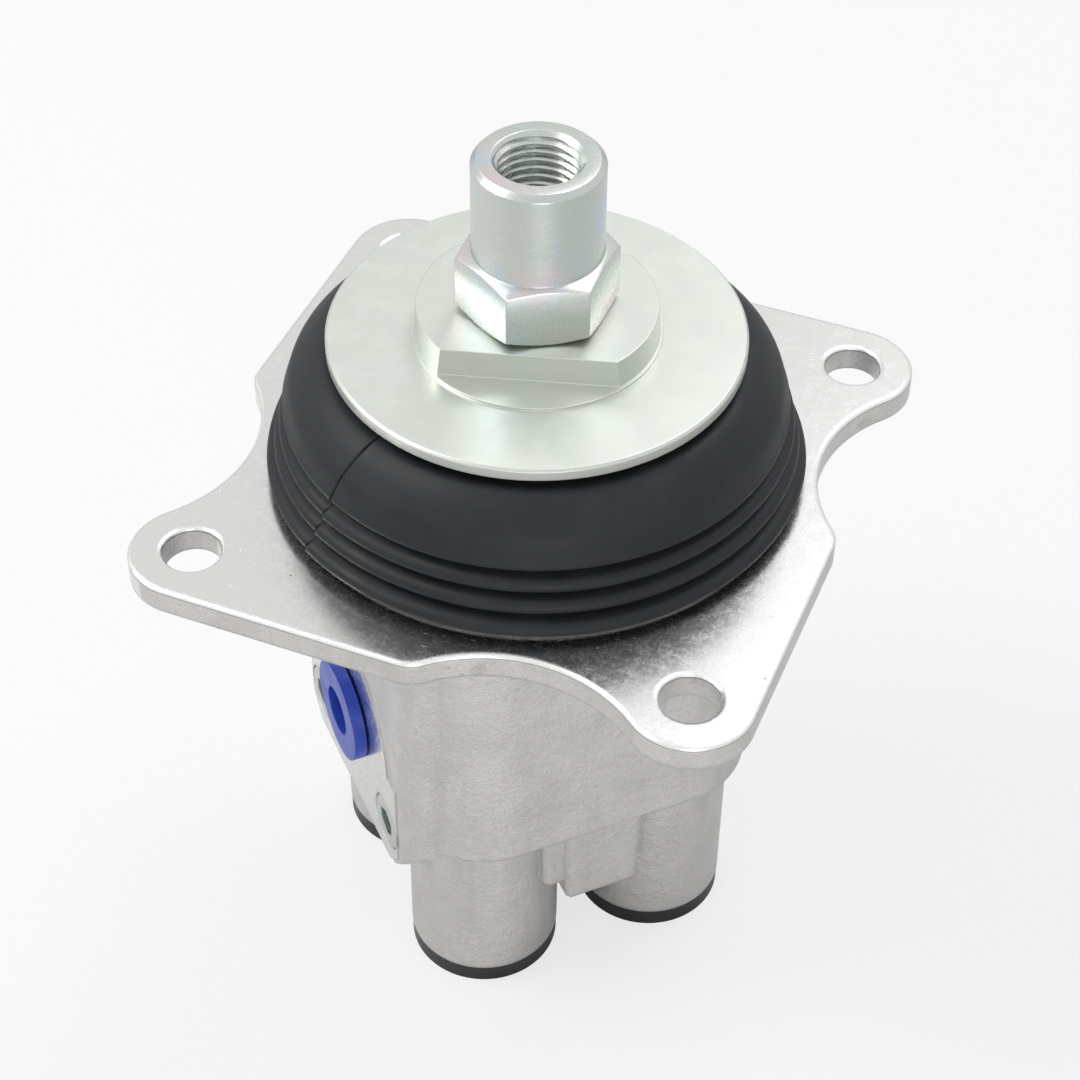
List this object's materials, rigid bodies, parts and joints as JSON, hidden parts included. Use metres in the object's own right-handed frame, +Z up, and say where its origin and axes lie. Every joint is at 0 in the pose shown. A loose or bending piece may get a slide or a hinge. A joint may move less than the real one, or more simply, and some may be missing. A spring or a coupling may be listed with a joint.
{
  "type": "hydraulic pilot joystick valve",
  "caption": "Pilot control valve: square eared flange, cast body with capped outlet columns and plugged ports, rubber boot, and a tilting disc with a threaded connecting nut.",
  "frame": {"origin": "centre of the four flange holes, in the flange's machined top face", "axes": "+Z up the lever; the four pilot stages stand under the X and Y axes and the flange ears on the diagonals; inlet port faces 225 degrees (-X-Y)"},
  "size_m": [0.1058, 0.1058, 0.159],
  "materials": {
    "cast": "die-cast, shot-blasted, machined faces",
    "zinc": "zinc plated, pale passivation",
    "steel": "ground and hardened",
    "spring": "oil-tempered spring wire",
    "rubber": "moulded, matt",
    "cap_black": "moulded shipping cap",
    "plug_blue": "moulded shipping plug",
    "mesh_brass": "sintered screen"
  },
  "bodies": {
    "housing": {"valve_body": "cast", "retainer_plate": "steel", "joint_base": "steel", "boot": "rubber", "guide_orings": "rubber", "piston_seals": "rubber", "spring_shims": "steel", "inlet_plug": "plug_blue", "return_plug": "plug_blue", "inlet_strainer": "mesh_brass", "gallery_plug_left": "steel", "gallery_plug_right": "steel", "stoppers": "steel", "piston_guide_1": "steel", "piston_guide_2": "steel", "piston_guide_3": "steel", "piston_guide_4": "steel", "port_cap_1": "cap_black", "port_cap_2": "cap_black", "port_cap_3": "cap_black", "port_cap_4": "cap_black", "centring_spring_1": "spring", "centring_spring_2": "spring", "centring_spring_3": "spring", "centring_spring_4": "spring", "metering_spring_1": "spring", "metering_spring_2": "spring", "metering_spring_3": "spring", "metering_spring_4": "spring"},
    "cross": {"joint_cross": "steel"},
    "lever": {"joint_stud": "steel", "press_disc": "zinc", "lever_nut": "zinc"},
    "plunger_1": {"piston_1": "steel", "spring_seat_1": "steel"},
    "metering_1": {"spool_1": "steel"},
    "plunger_2": {"piston_2": "steel", "spring_seat_2": "steel"},
    "metering_2": {"spool_2": "steel"},
    "plunger_3": {"piston_3": "steel", "spring_seat_3": "steel"},
    "metering_3": {"spool_3": "steel"},
    "plunger_4": {"piston_4": "steel", "spring_seat_4": "steel"},
    "metering_4": {"spool_4": "steel"}
  },
  "joints": [
    {"name": "tilt_x", "type": "hinge", "parent": "housing", "child": "cross", "pos_m": [0, 0, 0.02], "axis": [1, 0, 0], "range_deg": [-19, 19], "stiffness_Nm_per_rad": 3, "deforming": ["boot"]},
    {"name": "tilt_y", "type": "hinge", "parent": "cross", "child": "lever", "pos_m": [0, 0, 0.02], "axis": [0, 1, 0], "range_deg": [-19, 19], "stiffness_Nm_per_rad": 3},
    {"name": "piston_slide_1", "type": "slide", "parent": "housing", "child": "plunger_1", "axis": [0, 0, 1], "range_m": [-0.0086, 0.0086], "deforming": ["centring_spring_1", "metering_spring_1"]},
    {"name": "spool_slide_1", "type": "slide", "parent": "housing", "child": "metering_1", "axis": [0, 0, 1], "range_m": [-0.0027, 0.0027]},
    {"name": "piston_slide_2", "type": "slide", "parent": "housing", "child": "plunger_2", "axis": [0, 0, 1], "range_m": [-0.0086, 0.0086], "deforming": ["centring_spring_2", "metering_spring_2"]},
    {"name": "spool_slide_2", "type": "slide", "parent": "housing", "child": "metering_2", "axis": [0, 0, 1], "range_m": [-0.0027, 0.0027]},
    {"name": "piston_slide_3", "type": "slide", "parent": "housing", "child": "plunger_3", "axis": [0, 0, 1], "range_m": [-0.0086, 0.0086], "deforming": ["centring_spring_3", "metering_spring_3"]},
    {"name": "spool_slide_3", "type": "slide", "parent": "housing", "child": "metering_3", "axis": [0, 0, 1], "range_m": [-0.0027, 0.0027]},
    {"name": "piston_slide_4", "type": "slide", "parent": "housing", "child": "plunger_4", "axis": [0, 0, 1], "range_m": [-0.0086, 0.0086], "deforming": ["centring_spring_4", "metering_spring_4"]},
    {"name": "spool_slide_4", "type": "slide", "parent": "housing", "child": "metering_4", "axis": [0, 0, 1], "range_m": [-0.0027, 0.0027]}
  ],
  "couplings": [
    {"joint": "piston_slide_1", "follows": "tilt_y", "m_per_rad": -0.025482},
    {"joint": "spool_slide_1", "follows": "tilt_y", "m_per_rad": -0.00784},
    {"joint": "piston_slide_2", "follows": "tilt_x", "m_per_rad": 0.025482},
    {"joint": "spool_slide_2", "follows": "tilt_x", "m_per_rad": 0.00784},
    {"joint": "piston_slide_3", "follows": "tilt_y", "m_per_rad": 0.025482},
    {"joint": "spool_slide_3", "follows": "tilt_y", "m_per_rad": 0.00784},
    {"joint": "piston_slide_4", "follows": "tilt_x", "m_per_rad": -0.025482},
    {"joint": "spool_slide_4", "follows": "tilt_x", "m_per_rad": -0.00784}
  ]
}
